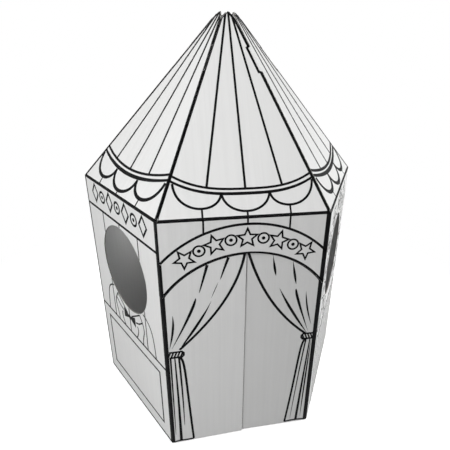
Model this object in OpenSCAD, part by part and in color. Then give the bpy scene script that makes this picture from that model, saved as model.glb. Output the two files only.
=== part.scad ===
// Six-sided cardboard playhouse: one creased sheet of corrugated board makes
// the six walls and the six roof flaps, and two door leaves are cut from its front wall.
// Millimetres. The origin is on the floor, in the middle of the house. The front wall faces -Y.

/* [Walls] */
// Width of each wall, from fold to fold
wall_w = 460; // [380:5:620]
// Height of the walls, from the floor to the fold at the eaves
wall_h = 800; // [640:5:1000]
// Thickness of the corrugated board
board_t = 4; // [3:0.5:6]

/* [Roof] */
// Height from the eaves to the point where the planes of the roof flaps meet
roof_rise = 525; // [350:5:700]
// Distance from the middle of the house to the tip of each roof flap
tip_r = 24; // [12:1:30]
// Angle of the two short edges at the tip of a roof flap, from the middle of the flap
tip_angle = 40; // [30:1:60]
// Gap between the inner edges of two roof flaps
hip_clear = 0.5; // [0.3:0.1:1.5]
// Length of each eave cut away at its ends, where the folds cross
eave_relief = 4; // [4:1:16]

/* [Roof locks] */
// Length of the tab that locks two roof flaps together
lock_len = 85; // [50:5:100]
// Distance from the top of the roof planes to the tab, along the hip
lock_drop = 165; // [130:5:220]
// Distance that the tab reaches past the hip before it turns in
lock_lap = 6.5; // [6:0.5:12]
// Distance that the tab reaches in through its notch
lock_depth = 26; // [15:1:35]
// Clearance between a tab and the board around it
lock_clear = 0.5; // [0.3:0.1:1]

/* [Doorway] */
// Distance from the eaves down to the top of the doorway arch
arch_drop = 106; // [80:2:160]
// Rise of the arch above its ends
arch_rise = 121; // [60:1:150]
// Width of the cut between a door leaf and the board around it
door_kerf = 2; // [1.5:0.5:4]
// Distance that the doors clear the floor
door_lift = 2; // [2:0.5:6]
// Angle that the left door stands in from the wall
left_ajar = 0.5; // [0:0.5:6]
// Angle that the right door stands in from the wall
right_ajar = 1.5; // [0:0.5:6]

/* [Windows] */
// Diameter of the round window in each wall beside the doorway
window_d = 288; // [200:2:320]
// Distance from the eaves down to the middle of the windows
window_drop = 248; // [220:2:320]

/* [Glued seam] */
// Width of the seam flap glued inside a rear wall
seam_w = 40; // [25:1:60]
// Distance that the seam flap stops short of the floor and the eaves
seam_inset = 30; // [10:5:60]

/* [Hidden] */

$fn = 96;

// The plan: a regular hexagon, with a corner on each side of the front wall
sides = 6;
turn = 360 / sides;
apothem = wall_w * cos(turn / 2);
inner_apothem = apothem - board_t;
inner_corner = inner_apothem / cos(turn / 2);
reach = 2 * board_t;

// The outer skin of a fold is round about the inner corner
fold_tangent = board_t * tan(turn / 2);

// The roof: pitch and slope length of a flap, and the angles at a hip
pitch = atan2(roof_rise, apothem);
slope = norm([roof_rise, apothem]);
hip_lean = atan2(wall_w / 2, slope);
hip_len = norm([wall_w / 2, slope]);
hip_turn = acos(cos(turn) * pow(sin(pitch), 2) + pow(cos(pitch), 2));
hip_set = board_t * tan(hip_turn / 2) + hip_clear / 2 / cos(hip_turn / 2);

// The tip of a flap: its point, and where its short edges leave the hips
hip_inset = hip_set / cos(hip_lean);
tip_y = slope - tip_r / cos(pitch);
tip_corner_y = (tip_y * tan(tip_angle) - wall_w / 2 + hip_inset) / (tan(tip_angle) - tan(hip_lean));
tip_corner_x = (tip_y - tip_corner_y) * tan(tip_angle);

// A roof lock, measured along the hip from the eaves
lock_top = hip_len - lock_drop;
lock_low = lock_top - lock_len;
lock_root = 3.5 * board_t;
lock_taper = 8;

// The arch of the doorway
arch_crown = wall_h - arch_drop;
arch_spring = arch_crown - arch_rise;
arch_r = (pow(wall_w / 2, 2) + pow(arch_rise, 2)) / (2 * arch_rise);
arch_centre = arch_crown - arch_r;

// A door swings on a crushed crease in the middle of the board's thickness
crease_x = wall_w / 2 - board_t / 2 * tan(turn / 2);
crease_y = -(apothem - board_t / 2);
crease_r = 0.4;
crease_gap = 0.4;
crease_taper = 6;
crease_edge = 0.25;
header_x = crease_x - crease_taper;
crease_h = arch_centre + sqrt(pow(arch_r, 2) - pow(header_x, 2));

window_z = wall_h - window_drop;

white_card = [0.95, 0.95, 0.94];
door_card = [0.90, 0.90, 0.89];

// Puts its children on one of the walls, counted from the front wall
module on_wall(k) {
    rotate([0, 0, k * turn]) children();
}

// Stands a flat outline up as board behind the outer face of the front wall
module stand_board(depth, thick) {
    translate([0, depth - apothem, 0])
        rotate([90, 0, 0])
            linear_extrude(thick) children();
}

// The walls in plan, with round folds outside and sharp ones inside
module wall_plan() {
    difference() {
        union() {
            polygon([for (k = [0:sides - 1], side = [-1, 1])
                wall_w * [cos(k * turn), sin(k * turn)]
                - fold_tangent * [cos(k * turn - side * turn), sin(k * turn - side * turn)]]);
            for (k = [0:sides - 1])
                rotate(k * turn) translate([inner_corner, 0]) circle(board_t);
        }
        circle(inner_corner, $fn = sides);
    }
}

// The doorway as seen from the front, drawn in by a clearance under the arch
module doorway_outline(half_w, clear) {
    intersection() {
        translate([-half_w, -reach]) square([2 * half_w, reach + arch_crown]);
        union() {
            translate([-half_w, -reach]) square([2 * half_w, reach + arch_centre]);
            translate([0, arch_centre]) circle(arch_r - clear, $fn = 180);
        }
    }
}

// Puts its children at the crease of a door, with x along the board from the crease
module at_crease(side, along) {
    translate([side * crease_x, crease_y])
        mirror([side > 0 ? 1 : 0, 0]) rotate(along) children();
}

// A door leaf in plan, thinned towards its crease
module leaf_plan(start, length) {
    polygon([
        [start, -crease_edge],
        [crease_taper, -board_t / 2],
        [length, -board_t / 2],
        [length, board_t / 2],
        [crease_taper, board_t / 2],
        [start, crease_edge]
    ]);
}

// What a crease takes away in plan: the board beside the doorway thins to a bead that the door swings on
module crease_cut_plan() {
    length = 2 * crease_taper;
    spread = board_t - crease_r;
    difference() {
        translate([-reach, -reach]) square([reach + length, 2 * reach]);
        polygon([[0, -crease_r], [length, -spread], [length, spread], [0, crease_r]]);
        circle(crease_r);
    }
}

// The space that the doorway and its two creases leave in the walls
module doorway_cut() {
    stand_board(reach, 2 * reach) doorway_outline(header_x, 0);
    for (side = [-1, 1])
        translate([0, 0, -reach]) linear_extrude(reach + crease_h)
            at_crease(side, 180 - turn) crease_cut_plan();
}

module window_cut() {
    translate([0, -apothem, window_z])
        rotate([90, 0, 0]) cylinder(d = window_d, h = 2 * reach, center = true);
}

// A roof flap laid flat, with its fold on the x axis
module flap_outline() {
    foot_y = (eave_relief - hip_inset) / tan(hip_lean);
    half = [
        [wall_w / 2 - eave_relief, 0],
        [wall_w / 2 - eave_relief, max(foot_y, 0)],
        [tip_corner_x, tip_corner_y]
    ];
    other = [for (i = [len(half) - 1:-1:0]) [-half[i].x, half[i].y]];
    polygon(concat(half, [[0, tip_y]], other));
}

// A point on the flap that has the notch: distance in from the hip, and height over its face
function over_flap(in, up) = [-in, up];

// A point on the flap that has the tab, measured in the same way
function over_tab_flap(in, up) = [
    in * cos(hip_turn) + up * sin(hip_turn),
    up * cos(hip_turn) - in * sin(hip_turn)
];

// Puts its children at a flap's right-hand hip, with y along the hip from the eaves
module at_hip() {
    translate([wall_w / 2, 0, 0]) rotate([0, 0, hip_lean]) children();
}

// The tab of the next flap: it bends round the hip, fills the notch and turns in
module lock_tab() {
    translate([0, lock_top, 0]) rotate([90, 0, 0]) linear_extrude(lock_len) polygon([
        over_tab_flap(lock_root, 0),
        over_flap(0, 0),
        over_flap(lock_lap, 0),
        over_flap(lock_lap, -board_t),
        over_flap(board_t * tan(hip_turn / 2), -board_t),
        over_tab_flap(lock_root, -board_t)
    ]);
    translate([-lock_lap, 0, 0]) rotate([90, 0, 90]) linear_extrude(board_t) polygon([
        [lock_low, 0],
        [lock_top, 0],
        [lock_top, -board_t],
        [lock_top - lock_taper, -lock_depth],
        [lock_low + lock_taper, -lock_depth],
        [lock_low, -board_t]
    ]);
}

// The notch in the hip that the tab turns into
module lock_notch() {
    translate([-lock_lap - lock_clear, lock_low - lock_clear, -reach])
        cube([lock_lap + lock_clear + reach, lock_len + 2 * lock_clear, 2 * reach]);
}

// One roof flap in its place over the front wall
module roof_flap() {
    translate([0, -apothem, wall_h]) rotate([pitch, 0, 0]) {
        difference() {
            translate([0, 0, -board_t]) linear_extrude(board_t) flap_outline();
            at_hip() lock_notch();
        }
        at_hip() lock_tab();
    }
}

// The flap of the seam, glued to the inner face of its wall
module seam_flap() {
    start = -wall_w / 2 + board_t * tan(turn / 2);
    stand_board(2 * board_t, board_t) polygon([
        [start, seam_inset],
        [start + seam_w, seam_inset + seam_w / 3],
        [start + seam_w, wall_h - seam_inset - seam_w / 3],
        [start, wall_h - seam_inset]
    ]);
}

// The whole folded sheet: walls, roof flaps with their locks, and the glued seam
module folded_house() {
    color(white_card) {
        difference() {
            linear_extrude(wall_h) wall_plan();
            doorway_cut();
            on_wall(-1) window_cut();
            on_wall(1) window_cut();
        }
        for (k = [0:sides - 1]) on_wall(k) roof_flap();
        on_wall(3) seam_flap();
    }
}

// A door leaf, swung in about its crease
module door_leaf(side, ajar) {
    leaf_w = crease_x - door_kerf / 2;
    start = crease_r + crease_gap;
    translate([side * crease_x, crease_y, 0])
        rotate([0, 0, -side * ajar])
            translate([-side * crease_x, -crease_y, 0])
                intersection() {
                    translate([0, 0, door_lift]) linear_extrude(arch_crown)
                        at_crease(side, 0) leaf_plan(start, leaf_w);
                    stand_board(reach, 2 * reach) doorway_outline(wall_w / 2, door_kerf);
                }
}

module left_door() {
    color(door_card) door_leaf(-1, left_ajar);
}

module right_door() {
    color(door_card) door_leaf(1, right_ajar);
}

folded_house();
left_door();
right_door();
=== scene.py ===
"""The looks of a six-sided cardboard playhouse: white corrugated board with a black line drawing on it."""

import math
import random

import bpy
from mathutils import Matrix, Vector


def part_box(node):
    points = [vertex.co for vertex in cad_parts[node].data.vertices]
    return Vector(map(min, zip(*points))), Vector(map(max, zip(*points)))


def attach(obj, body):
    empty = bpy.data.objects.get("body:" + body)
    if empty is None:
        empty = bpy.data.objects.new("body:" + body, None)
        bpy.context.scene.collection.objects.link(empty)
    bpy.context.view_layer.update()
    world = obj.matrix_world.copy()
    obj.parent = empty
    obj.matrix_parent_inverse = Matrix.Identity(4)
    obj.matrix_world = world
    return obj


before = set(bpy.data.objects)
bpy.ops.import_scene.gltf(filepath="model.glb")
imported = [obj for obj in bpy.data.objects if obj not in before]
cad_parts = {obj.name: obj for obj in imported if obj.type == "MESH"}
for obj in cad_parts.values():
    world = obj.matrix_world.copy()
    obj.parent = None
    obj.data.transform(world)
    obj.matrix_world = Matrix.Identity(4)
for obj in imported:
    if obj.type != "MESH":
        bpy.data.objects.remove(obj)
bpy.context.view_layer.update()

# Sizes of the folded sheet. Sizes and places below are in millimetres.
MM = 0.001
SIDES = 6
TURN = math.radians(360 / SIDES)
house_low, house_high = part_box("folded_house")
APOTHEM = (house_high.y - house_low.y) / 2 / MM
HALF_W = APOTHEM * math.tan(TURN / 2)
WALL_H = 800
BOARD_T = 4
FOLD_TANGENT = BOARD_T * math.tan(TURN / 2)
FLAT_HALF_W = HALF_W - FOLD_TANGENT

# The roof flaps: their slopes, edges, tips and locks
ROOF_RISE = 525
PITCH = math.atan2(ROOF_RISE, APOTHEM)
SLOPE = math.hypot(ROOF_RISE, APOTHEM)
HIP_LEAN = math.atan2(HALF_W, SLOPE)
HIP_LEN = math.hypot(HALF_W, SLOPE)
HIP_SET = 2
EAVE_RELIEF = 4
EAVE_HALF_W = HALF_W - EAVE_RELIEF
TIP_R = 24
TIP_Y = SLOPE - TIP_R / math.cos(PITCH)
TIP_CORNER = (20.1, 595.3)
LOCK_DROP, LOCK_LEN = 165, 85
LOCK_TOP = HIP_LEN - LOCK_DROP
LOCK_LOW = LOCK_TOP - LOCK_LEN
LOCK_LAP, LOCK_NOTCH = 6.5, 7

# The doorway, its doors and the windows
LEFT, RIGHT = -1, 1
CREASE_X = HALF_W - BOARD_T / 2 * math.tan(TURN / 2)
CREASE_Y = -(APOTHEM - BOARD_T / 2)
CREASE_TAPER = 6
CREASE_H = 582.9
BEAD_R = 0.4
HEADER_X = CREASE_X - CREASE_TAPER
ARCH_R = 279.1
ARCH_CENTRE = 414.9
DOOR_KERF, DOOR_LIFT = 2, 2
LEAF_R = ARCH_R - DOOR_KERF
LEAF_START, LEAF_EDGE = 0.8, 0.25
LEFT_AJAR, RIGHT_AJAR = math.radians(0.5), math.radians(1.5)
WINDOW_R = 144
WINDOW_Z = 552

# Line weights of the print, and the lower and upper face of the ink over the board
HEAVY, BRUSH, BOLD, MEDIUM, LIGHT, FINE = 9, 8, 7, 6.3, 5, 3.5
POINT_W = 0.5
INK_LOW, INK_HIGH = 0.05, 0.3
INK_LIFTS = (INK_LOW, INK_HIGH)

# How far lines keep off an edge beside them, a corner, an edge that they end at, and a step
EDGE_GAP, CORNER_GAP, END_GAP, STEP = 0.2, 0.3, 0.5, 1

FRONT, FRONT_RIGHT, REAR_RIGHT, REAR, REAR_LEFT, FRONT_LEFT = range(SIDES)
REAR_SIDES = (REAR_RIGHT, REAR, REAR_LEFT)
FRONT_FACE = Matrix.Translation((0, -APOTHEM, 0)) @ Matrix.Rotation(math.pi / 2, 4, "X")


def turned(k):
    """The turn from the front wall to wall k."""
    return Matrix.Rotation(k * TURN, 4, "Z")


def wall_place(k):
    """The outer face of a wall: x runs right and y up, seen from outside, from the middle of its foot."""
    return turned(k) @ FRONT_FACE


def roof_place(k):
    """The outer face of a roof flap: x runs along its eave and y up its slope."""
    return turned(k) @ Matrix.Translation((0, -APOTHEM, WALL_H)) @ Matrix.Rotation(PITCH, 4, "X")


def swung(side, ajar):
    """The swing of the left or right door about its crease, from flat in the wall."""
    crease = Vector((side * CREASE_X, CREASE_Y, 0))
    return Matrix.Translation(crease) @ Matrix.Rotation(-side * ajar, 4, "Z") @ Matrix.Translation(-crease)


# Paths: lists of points on a face

def polar(centre, radius, angle):
    """The point at a distance and an angle from a centre, in degrees from the x axis."""
    a = math.radians(angle)
    return centre[0] + radius * math.cos(a), centre[1] + radius * math.sin(a)


def arc(centre, radius, start, end, count=48):
    """Points round a circle, from one angle to another."""
    return [polar(centre, radius, start + (end - start) * i / count) for i in range(count + 1)]


def circle(centre, radius, count=32):
    return arc(centre, radius, 0, 360, count)[:-1]


def bezier(*controls, count=24):
    """Points along the Bezier curve of any number of controls."""
    path = []
    for i in range(count + 1):
        row = [Vector(c) for c in controls]
        while len(row) > 1:
            row = [a.lerp(b, i / count) for a, b in zip(row, row[1:])]
        path.append(tuple(row[0]))
    return path


def mirrored(path, side):
    """A path drawn for the right-hand side, flipped for the left."""
    return [(side * x, y) for x, y in path]


def headings(path):
    """The direction of travel at each point of an open path."""
    last = len(path) - 1
    return [(path[min(i + 1, last)] - path[max(i - 1, 0)]).normalized() for i in range(last + 1)]


# Widths: functions of the share of a path's points passed

TAPER_POWER, SWELL_POWER = 0.45, 0.8


def tapering(width):
    """A brush stroke that starts full and runs out to a point."""
    return lambda t: max(width * (1 - t) ** TAPER_POWER, POINT_W)


def swelling(width, peak=0.5):
    """A brush stroke that is pointed at both ends, with its widest place as a share of its length."""
    power = math.log(0.5) / math.log(peak)
    return lambda t: max(width * math.sin(math.pi * t ** power) ** SWELL_POWER, POINT_W)


def growing(first, last):
    """A stroke that changes evenly along it."""
    return lambda t: first + (last - first) * t


class Print:
    """The ink on one part of the sheet: closed slabs that lie on its faces, and black over some cut edges
    as painted shade.
    """
    SHARPEST_MITRE = 0.4

    def __init__(self, name, body, place):
        self.name = name
        self.body = body
        self.place = place
        self.points = []
        self.faces = []

    def slab(self, sections, closed=False):
        """Joins sections of four points each: left and right on the board, then left and right on top."""
        start = len(self.points)
        count = len(sections)
        self.points += [point for section in sections for point in section]

        def corner(i, j):
            return start + 4 * (i % count) + j

        for i in range(count if closed else count - 1):
            for a, b in ((2, 3), (1, 0), (0, 2), (3, 1)):
                self.faces.append((corner(i, a), corner(i, b), corner(i + 1, b), corner(i + 1, a)))
        if not closed:
            self.faces.append(tuple(corner(0, j) for j in (0, 1, 3, 2)))
            self.faces.append(tuple(corner(count - 1, j) for j in (0, 2, 3, 1)))

    def stroke(self, path, width, closed=False, place=None):
        """A line along a path. Its width is a number or a function."""
        path = [Vector(p) for p in path]
        last = len(path) - 1
        steps = [(b - a).normalized() for a, b in zip(path, path[1:] + path[:1])]
        place = place or self.place
        sections = []
        for i, p in enumerate(path):
            step_in = steps[i - 1] if i or closed else steps[i]
            step_out = steps[i] if i < last or closed else step_in
            along = (step_in + step_out).normalized()
            across = Vector((-along.y, along.x))
            mitre = max(along.dot(step_out), self.SHARPEST_MITRE)
            half = (width(i / last) if callable(width) else width) / 2 / mitre
            edges = (p + across * half, p - across * half)
            sections.append([place @ Vector((*e, lift)) for lift in INK_LIFTS for e in edges])
        self.slab(sections, closed)

    def dot(self, centre, radius, count=10):
        """A filled disc, as one stroke as wide as the disc at each height."""
        turns = [math.pi * i / count for i in range(count + 1)]
        path = [(centre[0], centre[1] - radius * math.cos(a)) for a in turns]
        self.stroke(path, lambda t: max(2 * radius * math.sin(math.pi * t), POINT_W))

    def upright(self, plan, foot, top, place=None):
        """A standing line along a path in plan, its outer side on the right. An end may be a function."""
        plan = [Vector(p) for p in plan]
        place = place or self.place
        sections = []
        for p, step in zip(plan, headings(plan)):
            out = Vector((step.y, -step.x))
            ends = [end(p) if callable(end) else end for end in (top, foot)]
            section = [(*(p + out * lift), z) for lift in INK_LIFTS for z in ends]
            sections.append([place @ Vector(point) for point in section])
        self.slab(sections)

    def over_edge(self, side, depth, pairs):
        """Black ink over a cut edge, down to a depth, as painted shade in a gap or groove. Each pair is a
        place on the edge at both lifts of ink.
        """
        depths = (INK_HIGH, -depth)[::side]
        self.slab([[self.place @ Vector((*p, d)) for p in pair for d in depths] for pair in pairs])

    def finish(self):
        mesh = bpy.data.meshes.new(self.name)
        mesh.from_pydata([p * MM for p in self.points], [], self.faces)
        mesh.materials.append(INK)
        piece = bpy.data.objects.new(self.name, mesh)
        bpy.context.scene.collection.objects.link(piece)
        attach(piece, self.body)


class Nodes:
    """Builds the shader of a material or a world from short calls."""

    def __init__(self, owner):
        owner.use_nodes = True
        self.tree = owner.node_tree

    def node(self, kind, inputs=(), **settings):
        made = self.tree.nodes.new("ShaderNode" + kind)
        for key, value in settings.items():
            setattr(made, key, value)
        for key, value in dict(inputs).items():
            self.put(made.inputs[key], value)
        return made

    def put(self, socket, value):
        if isinstance(value, bpy.types.NodeSocket):
            self.tree.links.new(value, socket)
        else:
            socket.default_value = value

    def math(self, operation, *values):
        return self.node("Math", enumerate(values), operation=operation).outputs[0]

    def mix(self, factor, a, b):
        return self.node("Mix", {"Factor": factor, "A": a, "B": b}).outputs[0]

    def mix_colour(self, factor, a, b):
        inputs = {"Factor": factor, "A": a, "B": b}
        return self.node("Mix", inputs, data_type="RGBA").outputs["Result"]

    def noise(self, vector, scale, detail=2.0, roughness=0.5):
        inputs = {"Vector": vector, "Scale": scale, "Detail": detail, "Roughness": roughness}
        return self.node("TexNoise", inputs).outputs["Fac"]

    def vary(self, noise, amount):
        """A factor that stays about one and follows a noise by an amount."""
        return self.math("MULTIPLY_ADD", noise, amount, 1 - amount / 2)

    def ramp(self, value, low, high, to_low=0.0, to_high=1.0):
        inputs = {"Value": value, "From Min": low, "From Max": high, "To Min": to_low, "To Max": to_high}
        return self.node("MapRange", inputs, interpolation_type="SMOOTHSTEP").outputs["Result"]

    def bump(self, height, distance, normal=None):
        inputs = {"Height": height, "Distance": distance * MM, "Strength": 1.0}
        if normal is not None:
            inputs["Normal"] = normal
        return self.node("Bump", inputs).outputs["Normal"]


def new_material(name):
    """A material, its nodes, and the inputs of its shader."""
    material = bpy.data.materials.new(name)
    n = Nodes(material)
    return material, n, n.tree.nodes["Principled BSDF"].inputs


# Materials

CARD_TONE = (0.80, 0.80, 0.795)
CARD_ROUGHNESS = (0.62, 0.82)
CARD_GLOSS = 0.28
# The right door's board is made a tenth darker: painted shade, for the deeper shade on the right leaf
RIGHT_DOOR_PAINTED_SHADE = 0.9
EDGE_TONE = (0.62, 0.60, 0.57, 1)
# The hollows of the flutes are painted near black: painted shade inside the tubes
HOLLOW_PAINTED_SHADE = (0.07, 0.066, 0.06, 1)
PAPER_T = 0.22
FLUTE_PITCH = 7.5
FLUTE_TURN = 2 * math.pi / FLUTE_PITCH
FLUTE_SWING = 1.3
FLUTE_STRETCH = 0.02
RIB_DEPTH, WARP_DEPTH, GRAIN_DEPTH = 0.02, 1.2, 0.03
INK_DEEP = (0.003, 0.003, 0.0035, 1)
INK_WORN = (0.013, 0.013, 0.0135, 1)
INK_ROUGHNESS = (0.5, 0.68)
INK_GLOSS, INK_GRAIN = 0.04, 0.02


def board_place(n, side, ajar):
    """A point, the same with the flutes drawn out, its place across its wall or flap, its depth in the
    board, and one where it is on a cut edge."""
    here = n.node("TexCoord")
    spot, facing = here.outputs["Object"], here.outputs["Normal"]
    if ajar:
        hinge = (side * CREASE_X * MM, CREASE_Y * MM, 0)
        flat = {"Axis": (0, 0, 1), "Angle": side * ajar}
        spot = n.node("VectorRotate", {**flat, "Vector": spot, "Center": hinge}).outputs[0]
        facing = n.node("VectorRotate", {**flat, "Vector": facing, "Center": (0, 0, 0)}).outputs[0]
    place = n.node("SeparateXYZ", {"Vector": spot}).outputs
    x, y, z = (n.math("DIVIDE", place[axis], MM) for axis in "XYZ")
    normal = n.node("SeparateXYZ", {"Vector": facing}).outputs

    # The wall or flap that the point is on, as a turn from the front
    sector = n.math("ARCTAN2", x, n.math("MULTIPLY", y, -1.0))
    sector = n.math("MULTIPLY", n.math("ROUND", n.math("DIVIDE", sector, TURN)), TURN)
    cosine, sine = n.math("COSINE", sector), n.math("SINE", sector)
    across = n.math("ADD", n.math("MULTIPLY", x, cosine), n.math("MULTIPLY", y, sine))
    along = n.math("MULTIPLY", z, FLUTE_STRETCH)
    strip = n.node("CombineXYZ", {"X": across, "Y": along, "Z": sector}).outputs[0]

    # The depth under the outer face, upright in the walls and tilted in the roof
    outward = n.math("SUBTRACT", n.math("MULTIPLY", x, sine), n.math("MULTIPLY", y, cosine))
    wall_depth = n.math("SUBTRACT", APOTHEM, outward)
    above = n.math("SUBTRACT", z, WALL_H)
    in_roof = n.math("GREATER_THAN", above, 0.0)
    rise, run = math.cos(PITCH), math.sin(PITCH)
    roof_depth = n.math("SUBTRACT", n.math("MULTIPLY", wall_depth, run), n.math("MULTIPLY", above, rise))
    depth = n.mix(in_roof, wall_depth, roof_depth)

    # A surface that doesn't face out or in squarely is a cut edge
    level = n.math("MULTIPLY", normal["X"], sine)
    level = n.math("SUBTRACT", level, n.math("MULTIPLY", normal["Y"], cosine))
    tilted = n.math("ADD", n.math("MULTIPLY", level, run), n.math("MULTIPLY", normal["Z"], rise))
    squarely = n.math("ABSOLUTE", n.mix(in_roof, level, tilted))
    cut_edge = n.ramp(squarely, 0.5, 0.6, 1.0, 0.0)
    return spot, strip, across, depth, cut_edge


def section_colour(n, across, depth):
    """A cut edge: two liners and the wave of the medium between them, with the hollows painted dark as
    painted shade.
    """
    wave = n.math("SINE", n.math("MULTIPLY", across, FLUTE_TURN))
    middle = n.math("MULTIPLY_ADD", wave, FLUTE_SWING, BOARD_T / 2)
    from_wave = n.math("ABSOLUTE", n.math("SUBTRACT", depth, middle))
    from_middle = n.math("ABSOLUTE", n.math("SUBTRACT", depth, BOARD_T / 2))
    medium = n.ramp(from_wave, PAPER_T, 2 * PAPER_T, 1.0, 0.0)
    liner = n.ramp(from_middle, BOARD_T / 2 - 2 * PAPER_T, BOARD_T / 2 - PAPER_T)
    return n.mix_colour(n.math("MAXIMUM", medium, liner), HOLLOW_PAINTED_SHADE, EDGE_TONE)


def liner_colour(n, spot, strip, fibres, tone):
    """The white liner: soft bands along the flutes, fine fibres and a slow change of tone."""
    shade = n.vary(n.noise(strip, scale=0.09, detail=3.0), 0.10)
    shade = n.math("MULTIPLY", shade, n.vary(fibres, 0.07))
    shade = n.math("MULTIPLY", shade, n.vary(n.noise(spot, scale=5.0), 0.05))
    # A tone below one darkens the liner: painted shade, used on the right door
    card = [tone * c for c in CARD_TONE]
    return n.node("VectorMath", {0: card, "Scale": shade}, operation="SCALE").outputs[0]


def board_relief(n, strip, across, fibres, cut_edge):
    """The washboard of the flutes, a board that isn't quite flat, and paper grain."""
    ribs = n.math("COSINE", n.math("MULTIPLY", across, FLUTE_TURN))
    ribs = n.math("MULTIPLY", ribs, n.math("SUBTRACT", 1.0, cut_edge))
    relief = n.bump(ribs, RIB_DEPTH)
    relief = n.bump(n.noise(strip, scale=0.03, detail=1.0), WARP_DEPTH, relief)
    return n.bump(fibres, GRAIN_DEPTH, relief)


def board_material(name, side=0, ajar=0.0, tone=1.0):
    """White corrugated board: a faintly ribbed liner, and flutes that show at the cut edges. A tone below
    one darkens the liner as painted shade.
    """
    material, n, shader = new_material(name)
    spot, strip, across, depth, cut_edge = board_place(n, side, ajar)
    fibres = n.noise(spot, scale=900.0, detail=4.0, roughness=0.65)
    liner = liner_colour(n, spot, strip, fibres, tone)
    n.put(shader["Base Color"], n.mix_colour(cut_edge, liner, section_colour(n, across, depth)))
    n.put(shader["Roughness"], n.ramp(fibres, 0.2, 0.8, *CARD_ROUGHNESS))
    n.put(shader["Specular IOR Level"], CARD_GLOSS)
    n.put(shader["Normal"], board_relief(n, strip, across, fibres, cut_edge))
    return material


def ink_material(name):
    """Black printing ink, a little patchy where it soaked into the liner."""
    material, n, shader = new_material(name)
    spot = n.node("TexCoord").outputs["Object"]
    grain = n.noise(spot, scale=700.0, detail=3.0, roughness=0.6)
    worn = n.ramp(n.math("MULTIPLY", grain, n.noise(spot, scale=60.0)), 0.1, 0.5)
    n.put(shader["Base Color"], n.mix_colour(worn, INK_DEEP, INK_WORN))
    n.put(shader["Roughness"], n.ramp(grain, 0.3, 0.7, *INK_ROUGHNESS))
    n.put(shader["Specular IOR Level"], INK_GLOSS)
    n.put(shader["Normal"], n.bump(grain, INK_GRAIN))
    return material


def assign(node, material):
    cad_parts[node].material_slots[0].material = material


assign("folded_house", board_material("white_board"))
assign("left_door", board_material("left_door_board", LEFT, LEFT_AJAR))
# The right door gets a darker board: painted shade
assign("right_door", board_material("right_door_board", RIGHT, RIGHT_AJAR, RIGHT_DOOR_PAINTED_SHADE))
INK = ink_material("black_ink")


# Print on the roof, and painted shade in the grooves between its flaps

# A valance: heights of its upper line at the middle and the hips, those of its lower line, the power of
# their curves, and how much the lower line swells
FRONT_VALANCE = ((76.5, 117), (63.8, 104), 3, 2.2)
VALANCE = ((85, 121), (70, 106), 2, 4)
VALANCE_STEPS = 32
SCALLOP_END, SCALLOP_CUSP = (186, 96), (64, 68)
SCALLOP_BULGE = 0.04
SIDE_LOW, MIDDLE_LOW = 28, 16
DROP_X = 116
STRIPE_SHARES = (-0.5, 0, 0.5)
STRIPE_END, STRIPE_SPREAD = 6, 10

# Widths of the lines along the left and right hip of a flap, and weights of its other lines
HIPS = {FRONT: (2.4, 7), FRONT_LEFT: (8, 5), FRONT_RIGHT: (0, 9)}
PLAIN_HIP = (5, 5)
FLAP_WEIGHT = {FRONT_LEFT: 1.15, FRONT_RIGHT: 1.4}

# Black over the cut edges of a flap, painted shade in the groove between two flaps: where it turns and
# ends along the hip, and its depth
FOOT_Y, HIP_FOOT, HIP_BEND, HIP_TOP = 5.2, 6.5, 12, 628
EDGE_PAINTED_SHADE = 3.5


def half_width(y):
    """Half the width of a roof flap at a place up its slope."""
    return HALF_W * (1 - y / SLOPE)


def hip_point(side, inset, along):
    """A point on a flap, at a distance in from its hip and along the hip from the eaves."""
    x = HALF_W - along * math.sin(HIP_LEAN) - inset * math.cos(HIP_LEAN)
    return side * x, along * math.cos(HIP_LEAN) - inset * math.sin(HIP_LEAN)


def valance_line(middle, end, power):
    """A line that sags between the hips, by its heights at the middle and the hips."""
    reach = half_width(end) - HIP_SET
    spots = [reach * (2 * i / VALANCE_STEPS - 1) for i in range(VALANCE_STEPS + 1)]
    return [(x, middle + (end - middle) * abs(x / reach) ** power) for x in spots]


def scallop(first, last, low):
    """A hanging lobe between two cusps, down to its lowest height."""
    control_y = (8 * low - first[1] - last[1]) / 6
    inset = SCALLOP_BULGE * (last[0] - first[0])
    return bezier(first, (first[0] + inset, control_y), (last[0] - inset, control_y), last)


def hip_edges(ink, side):
    """Black ink over the cut edge of a flap at its foot and along its hip, into the groove between two
    flaps: painted shade in that groove.
    """
    foot = [[(side * (EAVE_HALF_W + lift), y) for lift in INK_LIFTS] for y in (INK_HIGH, FOOT_Y)]
    ink.over_edge(side, EDGE_PAINTED_SHADE, foot)
    for ends in ((HIP_FOOT, LOCK_LOW - STEP), (LOCK_TOP + STEP, HIP_TOP)):
        pairs = [[hip_point(side, HIP_SET - lift, along) for lift in INK_LIFTS] for along in ends]
        ink.over_edge(side, EDGE_PAINTED_SHADE, pairs)


def hip_ends(width):
    """Both ends of the line along a right-hand hip: from the eave, and round the tip of the flap."""
    foot = (EAVE_HALF_W - width / 2 - EDGE_GAP, CORNER_GAP)
    tip = (TIP_CORNER[0] - width / 2, TIP_CORNER[1] - width / 2)
    return [foot, hip_point(RIGHT, HIP_SET + width / 2, HIP_BEND)], [tip, (0, TIP_Y - width / 2 - STEP)]


def right_hip(ink, width, stepped):
    """The line along the right-hand hip. It steps in beside the notch of the lock, or stops for it."""
    low, tip = hip_ends(width)
    inset, beside = HIP_SET + width / 2, LOCK_NOTCH + width / 2 + CORNER_GAP
    below, above = (hip_point(RIGHT, inset, along) for along in (LOCK_LOW - STEP, LOCK_TOP + STEP))
    if stepped:
        notch = [hip_point(RIGHT, beside, along) for along in (LOCK_LOW + STEP, LOCK_TOP - STEP)]
        ink.stroke([*low, below, *notch, above, *tip], width)
    else:
        ink.stroke([*low, below], width)
        ink.stroke([above, *tip], width)
    hip_edges(ink, RIGHT)


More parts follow.
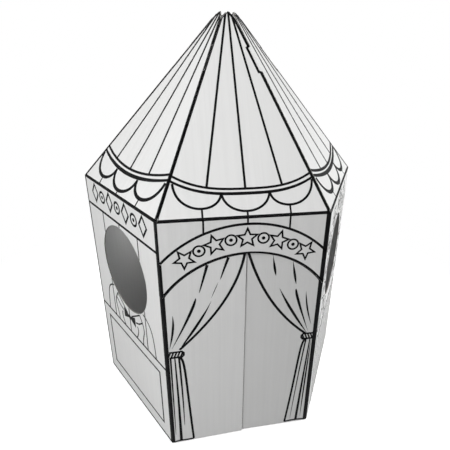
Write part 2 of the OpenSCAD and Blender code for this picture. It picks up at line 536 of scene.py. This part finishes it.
def left_hip(ink, width):
    """The line along the left-hand hip, which runs on over the root of the lock's tab."""
    low, tip = hip_ends(width)
    ink.stroke(mirrored([*low, *tip], LEFT), width)
    hip_edges(ink, LEFT)


def front_lock(ink):
    """Ink over the tab that bends from the front flap round its left-hand hip."""
    ends = LOCK_LOW + END_GAP, LOCK_TOP - END_GAP
    ink.stroke([hip_point(LEFT, HIP_SET / 2, along) for along in ends], HIP_SET)
    bent = [hip_point(RIGHT, LOCK_LAP / 2, along) for along in ends]
    ink.stroke(bent, LOCK_LAP - EDGE_GAP, place=roof_place(FRONT_LEFT))


def roof_print(k):
    """One flap: stripes to the tip, a double valance line and three scallops with lines to the eave."""
    ink = Print(f"roof_print_{k}", "house", roof_place(k))
    high, low, power, swell = FRONT_VALANCE if k == FRONT else VALANCE
    weight = FLAP_WEIGHT.get(k, 1)
    line_w = MEDIUM * weight
    lobe_w = MEDIUM if k == FRONT else HEAVY * weight
    for share in STRIPE_SHARES:
        foot_y = high[0] + (high[1] - high[0]) * abs(share) ** power
        top_y = TIP_Y - STRIPE_END - STRIPE_SPREAD * abs(share)
        ink.stroke([(share * half_width(y), y) for y in (foot_y, top_y)], line_w)
    ink.stroke(valance_line(*high, power), line_w)
    ink.stroke(valance_line(*low, power), lambda t: line_w + swell * math.sin(math.pi * t))
    for side in (LEFT, RIGHT):
        ink.stroke(mirrored(scallop(SCALLOP_CUSP, SCALLOP_END, SIDE_LOW), side), lobe_w)
        ink.stroke([(side * DROP_X, SIDE_LOW), (side * DROP_X, STEP)], LIGHT)
    left_cusp = (-SCALLOP_CUSP[0], SCALLOP_CUSP[1])
    ink.stroke(scallop(left_cusp, SCALLOP_CUSP, MIDDLE_LOW), lobe_w)
    ink.stroke([(0, MIDDLE_LOW), (0, STEP)], LIGHT)
    eave_w = FINE if k in REAR_SIDES else weight * HEAVY / 2
    reach = EAVE_HALF_W - END_GAP
    ink.stroke([(-reach, eave_w / 2), (reach, eave_w / 2)], eave_w)
    left_w, right_w = HIPS.get(k, PLAIN_HIP)
    right_hip(ink, right_w, stepped=k != FRONT_LEFT)
    if left_w:
        left_hip(ink, left_w)
    if k == FRONT:
        front_lock(ink)
    ink.finish()


# Print on the walls, and painted shade in the gap under the arch

WALL_STRIPES = (-HALF_W / 2, 0, HALF_W / 2)
STAR_POINTS, STAR_INNER = 5, 0.45

# Reach of the corner lines: on the front wall and round the corner, over the sign, and behind the booth
LEFT_CORNER, RIGHT_CORNER = (6, 9), (13, 3)
UPPER_CORNER = 2.5
REAR_CORNER = 6

# The sign over the doorway: its upper line, its row of stars and rings, and the line round the arch, whose
# lip hangs over the cut as painted shade in the gap
SIGN_TOP, SIGN_END = 780.5, 678
SIGN_R = (HALF_W ** 2 + (SIGN_TOP - SIGN_END) ** 2) / (2 * (SIGN_TOP - SIGN_END))
SIGN_CENTRE = SIGN_TOP - SIGN_R
SIGN_COUNT, SIGN_SPREAD, SIGN_LIFT = 9, 34, 2
SIGN_STAR_R, SIGN_RING_R, SIGN_DOT_R = 28, 15, 5
ARCH_INK, ARCH_PAINTED_SHADE_LIP = 5, 1

# The booth on the front left wall: its band, counter, panel and bow
BAND_Z, BAND_MIDDLE = 710, 760
BAND_COUNT, BAND_STEP = 7, 52
BAND_LOZENGE = (21, 29)
BAND_RING_R, BAND_DOT_R = 17, 6
COUNTER_Z = 313
PANEL_X, PANEL_LOW, PANEL_HIGH = 181, 55, 273
BOW_Z, BOW_R, BOW_GAP = 372, 9, 10

# The right-hand half of the collar and bow: each path and its width
COLLAR_TOP, COLLAR_POINT = (78, 426), (92, 404)
COLLAR = (
    (bezier((102, 444), (156, 430), (160, 390), (166, COUNTER_Z)), LIGHT),
    ([(5, BOW_Z), (40, BOW_Z)], growing(10, 40)),
    (bezier(COLLAR_TOP, (58, 412), (14, 382)), LIGHT),
    ([COLLAR_TOP, COLLAR_POINT, (66, 384), (44, 376)], LIGHT),
    (bezier((52, 366), (66, 350), (40, COUNTER_Z)), LIGHT),
    (bezier(COLLAR_POINT, (112, 372), (84, 352), (86, COUNTER_Z)), LIGHT)
)

# The bucket on the front right wall, as half widths and heights, and the crumbs that are heaped over it
BUCKET_RIM, BUCKET_FOOT = (200, 350), (168, 12)
BUCKET_STRIPES, BUCKET_SAG = 8, 26
HEAP_R, HEAP_STEP, HEAP_FOOT = WINDOW_R + 38, 24, 385
HEAP_CORNERS = ((-194, 404), (-194, 692), (194, 404), (194, 692), (-122, 748), (0, 766), (122, 748))
HEAP_SEED = 4
CRUMB_R, CRUMB_WAVE, CRUMB_LOBES, CRUMB_STEPS = (25, 29), 5, 4, 40
CURL_R, CURL_TURN = 11, 220


def level_line(ink, z, width):
    """A line across a wall, from fold to fold."""
    ink.stroke([(-FLAT_HALF_W, z), (FLAT_HALF_W, z)], width)


def eave_line(ink, width):
    level_line(ink, WALL_H - width / 2, width)


def star(centre, radius, turn):
    """A star outline, its first point turned from straight up by an angle in degrees."""
    radii = (radius, STAR_INNER * radius) * STAR_POINTS
    return [polar(centre, r, 90 + turn + 180 / STAR_POINTS * i) for i, r in enumerate(radii)]


def lozenge(centre, half_w, half_h):
    """A diamond outline."""
    x, y = centre
    return [(x, y + half_h), (x - half_w, y), (x, y - half_h), (x + half_w, y)]


def ring(ink, spot, radius, dot_r, width):
    """A ring round a dot."""
    ink.stroke(circle(spot, radius), width, closed=True)
    ink.dot(spot, dot_r)


def arch_line(ink, centre, radius, half_w, width):
    """A line along an arch over the doorway, with half its span."""
    spread = math.degrees(math.asin(half_w / radius))
    ink.stroke(arc((0, centre), radius, 90 + spread, 90 - spread), width)


def header_print():
    """Over the doorway: an arched sign with a row of stars and rings, and stripes up to the eaves."""
    ink = Print("header_print", "house", wall_place(FRONT))
    eave_line(ink, HEAVY / 2)
    arch_line(ink, SIGN_CENTRE, SIGN_R, HALF_W - UPPER_CORNER, BOLD)
    # The arch line's lip hangs over the gap above the doors: painted shade in that gap
    arch_line(ink, ARCH_CENTRE, ARCH_R - ARCH_PAINTED_SHADE_LIP + ARCH_INK / 2, HALF_W - LEFT_CORNER[0], ARCH_INK)
    for x in WALL_STRIPES:
        ink.stroke([(x, WALL_H - STEP), (x, SIGN_CENTRE + math.sqrt(SIGN_R ** 2 - x ** 2))], LIGHT)
    row_centre = (0, (SIGN_CENTRE + ARCH_CENTRE) / 2)
    row_r = (SIGN_R + ARCH_R) / 2 + SIGN_LIFT
    for i in range(SIGN_COUNT):
        turn = SIGN_SPREAD * (1 - 2 * i / (SIGN_COUNT - 1))
        spot = polar(row_centre, row_r, 90 + turn)
        if i % 2:
            ring(ink, spot, SIGN_RING_R, SIGN_DOT_R, LIGHT)
        else:
            ink.stroke(star(spot, SIGN_STAR_R, turn), LIGHT, closed=True)
    ink.finish()


def window_stripe(ink, x, top, foot, width):
    """An upright stripe that stops at the window."""
    gap = math.sqrt(max(WINDOW_R ** 2 - x ** 2, 0)) + STEP
    ink.stroke([(x, top), (x, WINDOW_Z + gap)], width)
    ink.stroke([(x, WINDOW_Z - gap), (x, foot)], width)


def booth_print():
    """The front left wall: a sign band, a window over a collar and bow, and a counter with a panel."""
    ink = Print("booth_print", "house", wall_place(FRONT_LEFT))
    eave_line(ink, HEAVY / 2)
    level_line(ink, BAND_Z, BRUSH)
    level_line(ink, COUNTER_Z, BOLD)
    level_line(ink, BRUSH / 2, BRUSH)
    for x in WALL_STRIPES:
        window_stripe(ink, x, BAND_Z, COUNTER_Z, LIGHT)
    panel = [(-PANEL_X, PANEL_LOW), (-PANEL_X, PANEL_HIGH), (PANEL_X, PANEL_HIGH), (PANEL_X, PANEL_LOW)]
    ink.stroke(panel, BOLD, closed=True)
    for i in range(BAND_COUNT):
        spot = (BAND_STEP * (i - BAND_COUNT // 2), BAND_MIDDLE)
        if i % 2:
            ring(ink, spot, BAND_RING_R, BAND_DOT_R, BOLD)
        else:
            ink.stroke(lozenge(spot, *BAND_LOZENGE), BOLD, closed=True)
    for side in (LEFT, RIGHT):
        for path, width in COLLAR:
            ink.stroke(mirrored(path, side), width)
    ink.dot((0, BOW_Z), BOW_R)
    ink.stroke([(0, BOW_Z - BOW_GAP), (0, COUNTER_Z)], LIGHT)
    ink.finish()


def crumb(ink, spot, scatter):
    """A puffed crumb: a wavy outline with a curl inside it."""
    phase = scatter.uniform(0, 2 * math.pi)
    size = scatter.uniform(*CRUMB_R)
    outline = []
    for i in range(CRUMB_STEPS):
        a = 2 * math.pi * i / CRUMB_STEPS
        outline.append(polar(spot, size + CRUMB_WAVE * math.cos(CRUMB_LOBES * a + phase), math.degrees(a)))
    ink.stroke(outline, FINE, closed=True)
    first = math.degrees(phase)
    ink.stroke(arc(spot, CURL_R, first, first + CURL_TURN, 16), swelling(BOLD))


def bucket_print():
    """The front right wall: a window in a heap of round crumbs, over a striped bucket."""
    ink = Print("bucket_print", "house", wall_place(FRONT_RIGHT))
    eave_line(ink, HEAVY / 2)
    scatter = random.Random(HEAP_SEED)
    round_window = [polar((0, WINDOW_Z), HEAP_R, a) for a in range(0, 360, HEAP_STEP)]
    for spot in (*round_window, *HEAP_CORNERS):
        if spot[1] > HEAP_FOOT:
            crumb(ink, spot, scatter)
    rim_x, rim_z = BUCKET_RIM
    foot_x, foot_z = BUCKET_FOOT
    shares = [2 * i / BUCKET_STRIPES - 1 for i in range(BUCKET_STRIPES + 1)]
    for share in shares:
        ink.stroke([(share * rim_x, rim_z), (share * foot_x, foot_z)], HEAVY)
    for first, last in zip(shares, shares[1:]):
        sag = ((first + last) / 2 * rim_x, rim_z - BUCKET_SAG)
        ink.stroke(bezier((first * rim_x, rim_z), sag, (last * rim_x, rim_z), count=10), BOLD)
    ink.stroke([(-foot_x, foot_z), (foot_x, foot_z)], BOLD)
    ink.finish()


def rear_print(k):
    """A rear wall: the same band and stripes, with nothing else."""
    ink = Print(f"rear_print_{k}", "house", wall_place(k))
    eave_line(ink, FINE)
    level_line(ink, BAND_Z, LIGHT)
    level_line(ink, FINE / 2, FINE)
    for x in WALL_STRIPES:
        ink.stroke([(x, BAND_Z), (x, FINE)], FINE)
    ink.finish()


# Print on the folds between the walls

FOLD_STEPS, FLAT_STEPS = 6, 4
BEAD_START, BEAD_END = 210, 375
CAP_GAP = 0.6
HEADER_HANG, HEADER_GAP = 1.2, 0.4


def fold_plan(before, after):
    """The outer skin round the fold at the right of the front wall, in plan, by its reach on each wall."""
    corner = Vector((HALF_W, -APOTHEM))
    inner = Vector((FLAT_HALF_W, -APOTHEM + BOARD_T))
    run = Vector((math.cos(TURN), math.sin(TURN)))
    turns = [TURN * i / FOLD_STEPS for i in range(FOLD_STEPS + 1)]
    shares = [i / FLAT_STEPS for i in range(1, FLAT_STEPS + 1)]
    start = [corner - Vector((FOLD_TANGENT + before * share, 0)) for share in reversed(shares)]
    bend = [inner + BOARD_T * Vector((math.sin(a), -math.cos(a))) for a in turns]
    end = [corner + run * (FOLD_TANGENT + after * share) for share in shares]
    return [*start, *bend, *end]


def crease_plan(side, reach):
    """The thinned edge of the wall beside a door and the bead at its crease, in plan."""
    run = Vector((-math.cos(TURN), math.sin(TURN)))
    out = Vector((-math.sin(TURN), -math.cos(TURN)))
    crease = Vector((-CREASE_X, CREASE_Y))
    slope = (BOARD_T / 2 - BEAD_R) / CREASE_TAPER
    spots = [reach, END_GAP]
    if reach > CREASE_TAPER:
        spots.insert(1, CREASE_TAPER)
    edge = [crease + run * s + out * min(BEAD_R + slope * s, BOARD_T / 2) for s in spots]
    bead = [crease + Vector(p) for p in arc((0, 0), BEAD_R, BEAD_START, BEAD_END, 8)]
    return mirrored((edge + bead)[::-side], -side)


def corner_cap(ink, place):
    """Ink on the top edge of the walls at a corner, where the folds cross and the roof is cut away."""
    reach = EAVE_RELIEF - FOLD_TANGENT - END_GAP
    outer = fold_plan(reach, reach)
    sections = []
    for p, step in zip(outer, headings(outer)):
        inner = p + Vector((-step.y, step.x)) * (BOARD_T - CAP_GAP)
        sections.append([place @ Vector((*q, WALL_H + lift)) for lift in INK_LIFTS for q in (inner, p)])
    ink.slab(sections)


def header_foot(point):
    """The lower end of the corner lines over the doorway, where they meet the arch."""
    x = min(abs(point[0]), FLAT_HALF_W)
    lift = -HEADER_HANG if x > HEADER_X else HEADER_GAP
    return ARCH_CENTRE + math.sqrt(ARCH_R ** 2 - x ** 2) + lift


def left_fold(ink, front, foot, top):
    """Part of the line down the fold to the left of the doorway, with its reach on the front wall."""
    plan = fold_plan(front - FOLD_TANGENT, LEFT_CORNER[1])
    ink.upright(mirrored(plan[::-1], LEFT), foot, top)


def fold_print():
    """The lines down the folds between the walls, heavy beside the doorway and fine elsewhere."""
    ink = Print("fold_print", "house", Matrix.Identity(4))
    right_fold = fold_plan(RIGHT_CORNER[0] - FOLD_TANGENT, RIGHT_CORNER[1])
    ink.upright(right_fold, header_foot, WALL_H)
    left_fold(ink, LEFT_CORNER[0], header_foot, SIGN_END)
    left_fold(ink, UPPER_CORNER, SIGN_END, WALL_H)
    for k in (FRONT_RIGHT, *REAR_SIDES):
        after = REAR_CORNER if k == REAR_LEFT else END_GAP
        ink.upright(fold_plan(END_GAP, after), END_GAP, WALL_H, turned(k))
    for side, corner in ((LEFT, LEFT_CORNER), (RIGHT, RIGHT_CORNER)):
        ink.upright(crease_plan(side, corner[1]), END_GAP, CREASE_H)
    for k in range(SIDES):
        corner_cap(ink, turned(k))
    ink.finish()


# Print on the doors, and painted shade on their arched edges

# The width of the line under a door's arched edge, and the depth of the painted shade down that cut edge
LEAF_INK, RIM_PAINTED_SHADE = 2.4, 2.6
ROPE_INNER, ROPE_OUTER, ROPE_H = 180, 221, 20
ROPE_BEVEL = (5, 6)
TWISTS, TWIST_STEP, TWIST_FOOT, TWIST_TOP = 5, 9, 4, -3
LEFT_ROPE, RIGHT_ROPE = 363, 370

# The lines of each curtain: the controls of a curve, from the middle of the doorway, and its width
HEM_W = BOLD + 0.5
LEFT_CURTAIN = (
    (((6, 690), (30, 540), (191, 390)), HEM_W),
    (((107, 666), (118, 624), (130, 580)), tapering(BRUSH)),
    (((50, 684), (61, 653), (72, 617)), tapering(BRUSH)),
    (((140, 564), (145, 530), (212, 397)), swelling(BRUSH, 0.38)),
    (((78, 608), (87, 586), (97, 560)), swelling(2)),
    (((98, 548), (121, 493), (191, 391)), swelling(BRUSH, 0.6)),
    (((205, 512), (201, 470), (219, 397)), swelling(MEDIUM)),
    (((193, 363), (176, 350), (180, 300), (162, 8)), BOLD),
    (((218, 361), (218, 200), (218, 38)), tapering(LIGHT)),
    (((206, 361), (202, 200), (202, 10)), growing(FINE, HEAVY)),
    (((194, 361), (188, 200), (189, 75)), tapering(MEDIUM)),
    (((162, 8), (190, 5), (205, 13), (222, 6)), MEDIUM)
)
RIGHT_CURTAIN = (
    (((6, 690), (60, 504), (192, 391)), HEM_W),
    (((133, 657), (139, 618), (148, 577)), swelling(BOLD, 0.6)),
    (((74, 681), (79, 645), (86, 611)), swelling(BOLD, 0.65)),
    (((149, 561), (148, 543), (199, 400)), swelling(BRUSH, 0.38)),
    (((99, 568), (126, 504), (196, 393)), swelling(BRUSH, 0.55)),
    (((181, 549), (184, 496), (207, 425)), swelling(LIGHT)),
    (((195, 370), (176, 358), (180, 270), (149, 8)), BOLD),
    (((213, 367), (207, 200), (204, 24)), swelling(LIGHT)),
    (((209, 367), (200, 220), (189, 10)), growing(FINE, HEAVY)),
    (((196, 367), (184, 255), (168, 20)), tapering(LIGHT)),
    (((149, 8), (189, 13), (222, 6)), MEDIUM)
)


def tie_rope(ink, side, foot):
    """The twisted rope that ties a curtain, open at the hinge side."""
    top = foot + ROPE_H
    bevel_x, bevel_z = ROPE_BEVEL
    start = ROPE_INNER + bevel_x
    knot = [(ROPE_OUTER, foot), (start, foot), (ROPE_INNER, foot + bevel_z)]
    knot += [(ROPE_INNER, top - bevel_z), (start, top), (ROPE_OUTER, top)]
    ink.stroke(mirrored(knot, side), MEDIUM)
    for i in range(TWISTS):
        x = start + TWIST_STEP * i
        ink.stroke(mirrored([(x + TWIST_FOOT, foot + STEP), (x + TWIST_TOP, top - STEP)], side), LIGHT)


def leaf_arch(ink, side):
    """The line under the arched edge of a door, and a rim of black over that cut edge: painted shade in
    the gap under the header.
    """
    line_r = LEAF_R - LEAF_INK / 2 - EDGE_GAP
    ends = [math.degrees(math.acos(x / line_r)) for x in (HEADER_X, DOOR_KERF)]
    ink.stroke(mirrored(arc((0, ARCH_CENTRE), line_r, *ends), side), LEAF_INK)
    rims = [mirrored(arc((0, ARCH_CENTRE), LEAF_R + lift, *ends), side) for lift in INK_LIFTS]
    ink.over_edge(side, RIM_PAINTED_SHADE, zip(*rims))


def leaf_top(point):
    """The upper end of a door's corner line, just under the edge of the leaf."""
    return ARCH_CENTRE + math.sqrt(LEAF_R ** 2 - point[0] ** 2) - EDGE_GAP


def leaf_crease(ink, side, reach, swing):
    """The line along the crease of a door, over its thinned edge."""
    taper = [(LEAF_START, LEAF_EDGE), (CREASE_TAPER / 2, BOARD_T / 4)]
    taper += [(CREASE_TAPER, BOARD_T / 2), (max(reach, CREASE_TAPER + STEP), BOARD_T / 2)]
    plan = [(side * (CREASE_X - along), CREASE_Y - out) for along, out in taper]
    ink.upright(plan[::-side], DOOR_LIFT + END_GAP, leaf_top, swing)


def door_print(name, body, side, ajar, curtain, rope, reach):
    """A curtain drawn back to the hinge side and tied with a rope, and the lines round the doorway."""
    swing = swung(side, ajar)
    ink = Print(name, body, swing @ FRONT_FACE)
    for controls, width in curtain:
        ink.stroke(mirrored(bezier(*controls), side), width)
    tie_rope(ink, side, rope)
    leaf_arch(ink, side)
    leaf_crease(ink, side, reach, swing)
    ink.finish()


for k in range(SIDES):
    roof_print(k)
header_print()
booth_print()
bucket_print()
for k in REAR_SIDES:
    rear_print(k)
fold_print()
door_print("left_door_print", "left_leaf", LEFT, LEFT_AJAR, LEFT_CURTAIN, LEFT_ROPE, LEFT_CORNER[0])
door_print("right_door_print", "right_leaf", RIGHT, RIGHT_AJAR, RIGHT_CURTAIN, RIGHT_ROPE, RIGHT_CORNER[0])


# Floor, light and camera. Sizes and places from here on are in metres.

WHITE = (1, 1, 1, 1)
FLOOR_SIZE, FLOOR_NEAR, FLOOR_FAR = 12, 0.8, 1.5
FLOOR_TONE, FLOOR_BOUNCE, FLOOR_GLOW = 0.95, 0.4, 0.45
AMBIENT = 0.24
FRAME_PX = 450

# Each lamp: its name, place, target, size and power, and the spread of its light in degrees
MIDDLE = (0, 0, 0.8)
LAMPS = (
    ("left_light", (-2.6, -1.2, 3.6), MIDDLE, 2.0, 23.5, 180),
    ("front_light", (-1.2, -1.6, 2.6), MIDDLE, 0.8, 24, 180),
    ("right_light", (3.0, -0.4, 3.4), MIDDLE, 1.6, 43.5, 180),
    ("side_light", (3.2, 0.3, 1.1), MIDDLE, 1.6, 56, 180),
    ("low_light", (-1.7, -1.9, 0.95), MIDDLE, 0.8, 13, 180),
    ("inner_light", (-0.1, 0.05, 0.78), (-0.36, 0.2, 0.5), 0.12, 0.1, 70),
    ("back_light", (-1.8, 2.8, 2.6), MIDDLE, 1.6, 30, 180)
)


def in_view(n):
    """One for what the camera sees, straight or in a reflection, and zero for the light thrown back."""
    path = n.node("LightPath").outputs
    mirrored_view = n.math("MAXIMUM", path["Is Glossy Ray"], path["Is Transmission Ray"])
    return n.math("MAXIMUM", path["Is Camera Ray"], mirrored_view)


def floor_material():
    """A pale floor that keeps the shadow near the house, and is plain white farther out."""
    material, n, shader = new_material("floor")
    seen = in_view(n)
    spot = n.node("SeparateXYZ", {"Vector": n.node("TexCoord").outputs["Object"]}).outputs
    flat = n.node("CombineXYZ", {"X": spot["X"], "Y": spot["Y"]}).outputs[0]
    distance = n.node("VectorMath", {0: flat}, operation="LENGTH").outputs["Value"]
    far = n.ramp(distance, FLOOR_NEAR, FLOOR_FAR)
    tone = n.mix(seen, FLOOR_BOUNCE, n.math("MULTIPLY_ADD", far, -FLOOR_TONE, FLOOR_TONE))
    glow = n.math("MULTIPLY", seen, n.math("MULTIPLY_ADD", far, 1 - FLOOR_GLOW, FLOOR_GLOW))
    grey = {"Red": tone, "Green": tone, "Blue": tone}
    n.put(shader["Base Color"], n.node("CombineColor", grey).outputs[0])
    n.put(shader["Emission Color"], WHITE)
    n.put(shader["Emission Strength"], glow)
    n.put(shader["Roughness"], 1.0)
    n.put(shader["Specular IOR Level"], 0.0)
    return material


def floor():
    """A wide square floor, centred on the house."""
    mesh = bpy.data.meshes.new("floor")
    corners = [(x * FLOOR_SIZE, y * FLOOR_SIZE, 0) for x, y in ((-1, -1), (1, -1), (1, 1), (-1, 1))]
    mesh.from_pydata(corners, [], [(0, 1, 2, 3)])
    mesh.materials.append(floor_material())
    made = bpy.data.objects.new("floor", mesh)
    bpy.context.scene.collection.objects.link(made)


def surroundings():
    """White behind the object, and an even light of its own strength on it."""
    world = bpy.data.worlds.new("studio")
    bpy.context.scene.world = world
    n = Nodes(world)
    background = n.tree.nodes["Background"].inputs
    n.put(background["Color"], WHITE)
    n.put(background["Strength"], n.mix(in_view(n), AMBIENT, 1.0))


def soft_light(name, spot, target, size, power, spread):
    """A square soft box that faces a target."""
    lamp = bpy.data.lights.new(name, "AREA")
    lamp.shape = "SQUARE"
    lamp.size = size
    lamp.energy = power
    lamp.spread = math.radians(spread)
    made = bpy.data.objects.new(name, lamp)
    made.visible_camera = False
    made.location = spot
    made.rotation_mode = "QUATERNION"
    made.rotation_quaternion = (Vector(target) - Vector(spot)).to_track_quat("-Z", "Y")
    bpy.context.scene.collection.objects.link(made)


def photo_camera(eye, azimuth, elevation, roll, focal_px, middle_px):
    """A camera from its place, its angles in degrees, and its focal length and middle in photo pixels."""
    a, e = math.radians(azimuth), math.radians(elevation)
    back = Vector((math.sin(a) * math.cos(e), -math.cos(a) * math.cos(e), math.sin(e)))
    right = Vector((math.cos(a), math.sin(a), 0))
    upright = Matrix((right, back.cross(right), back)).transposed()
    axes = upright @ Matrix.Rotation(math.radians(roll), 3, "Z")
    camera = bpy.data.cameras.new("photo_camera")
    camera.lens = focal_px / FRAME_PX * camera.sensor_width
    camera.shift_x = 0.5 - middle_px[0] / FRAME_PX
    camera.shift_y = middle_px[1] / FRAME_PX - 0.5
    made = bpy.data.objects.new("photo_camera", camera)
    made.matrix_world = Matrix.Translation(eye) @ axes.to_4x4()
    bpy.context.scene.collection.objects.link(made)
    bpy.context.scene.camera = made


floor()
surroundings()
for lamp in LAMPS:
    soft_light(*lamp)
photo_camera(
    eye=(-0.1818, -1.2842, 1.2075),
    azimuth=-13.91,
    elevation=23.68,
    roll=2.51,
    focal_px=385.3,
    middle_px=(262.4, 213.6)
)
bpy.context.scene.view_settings.view_transform = "Standard"
